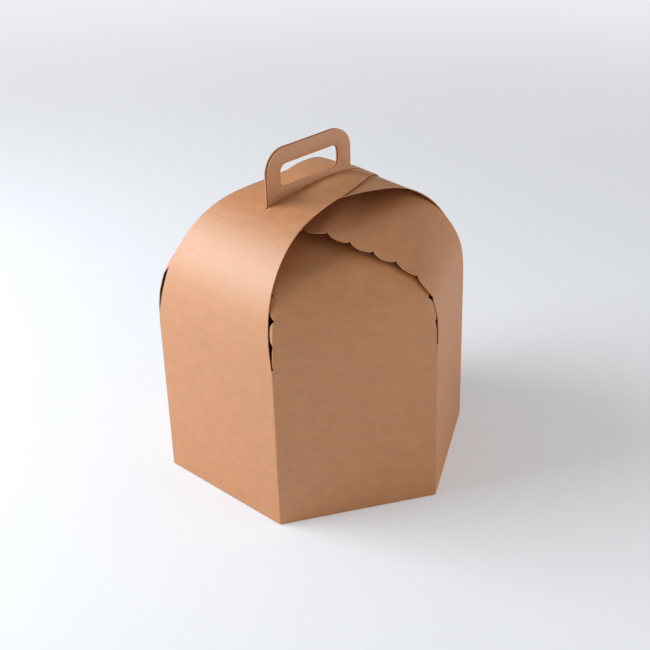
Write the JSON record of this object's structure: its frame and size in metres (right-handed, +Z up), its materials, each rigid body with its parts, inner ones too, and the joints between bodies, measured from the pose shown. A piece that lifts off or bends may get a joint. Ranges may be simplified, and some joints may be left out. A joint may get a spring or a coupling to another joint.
{
  "type": "gable box",
  "caption": "Hexagonal kraft board gable box with bands crossing over the top, scalloped petal flaps and a slotted carrying handle.",
  "frame": {"origin": "centre of the hexagonal base on the table", "axes": "+X from the locking band's wall to the inner band's wall, across flats; +Y across corners, along which the handle is thin; +Z up"},
  "size_m": [0.2598, 0.3, 0.3172],
  "materials": {
    "kraft_board": "unbleached kraft board, matte, fibrous"
  },
  "bodies": {
    "carton": {"carton": "kraft_board"},
    "locking_band": {"locking_band": "kraft_board"}
  },
  "joints": [
    {"name": "locking_band_fold", "type": "hinge", "parent": "carton", "child": "locking_band", "pos_m": [-0.1299, 0, 0.16], "axis": [0, -1, 0], "range_deg": [0, 170]}
  ]
}
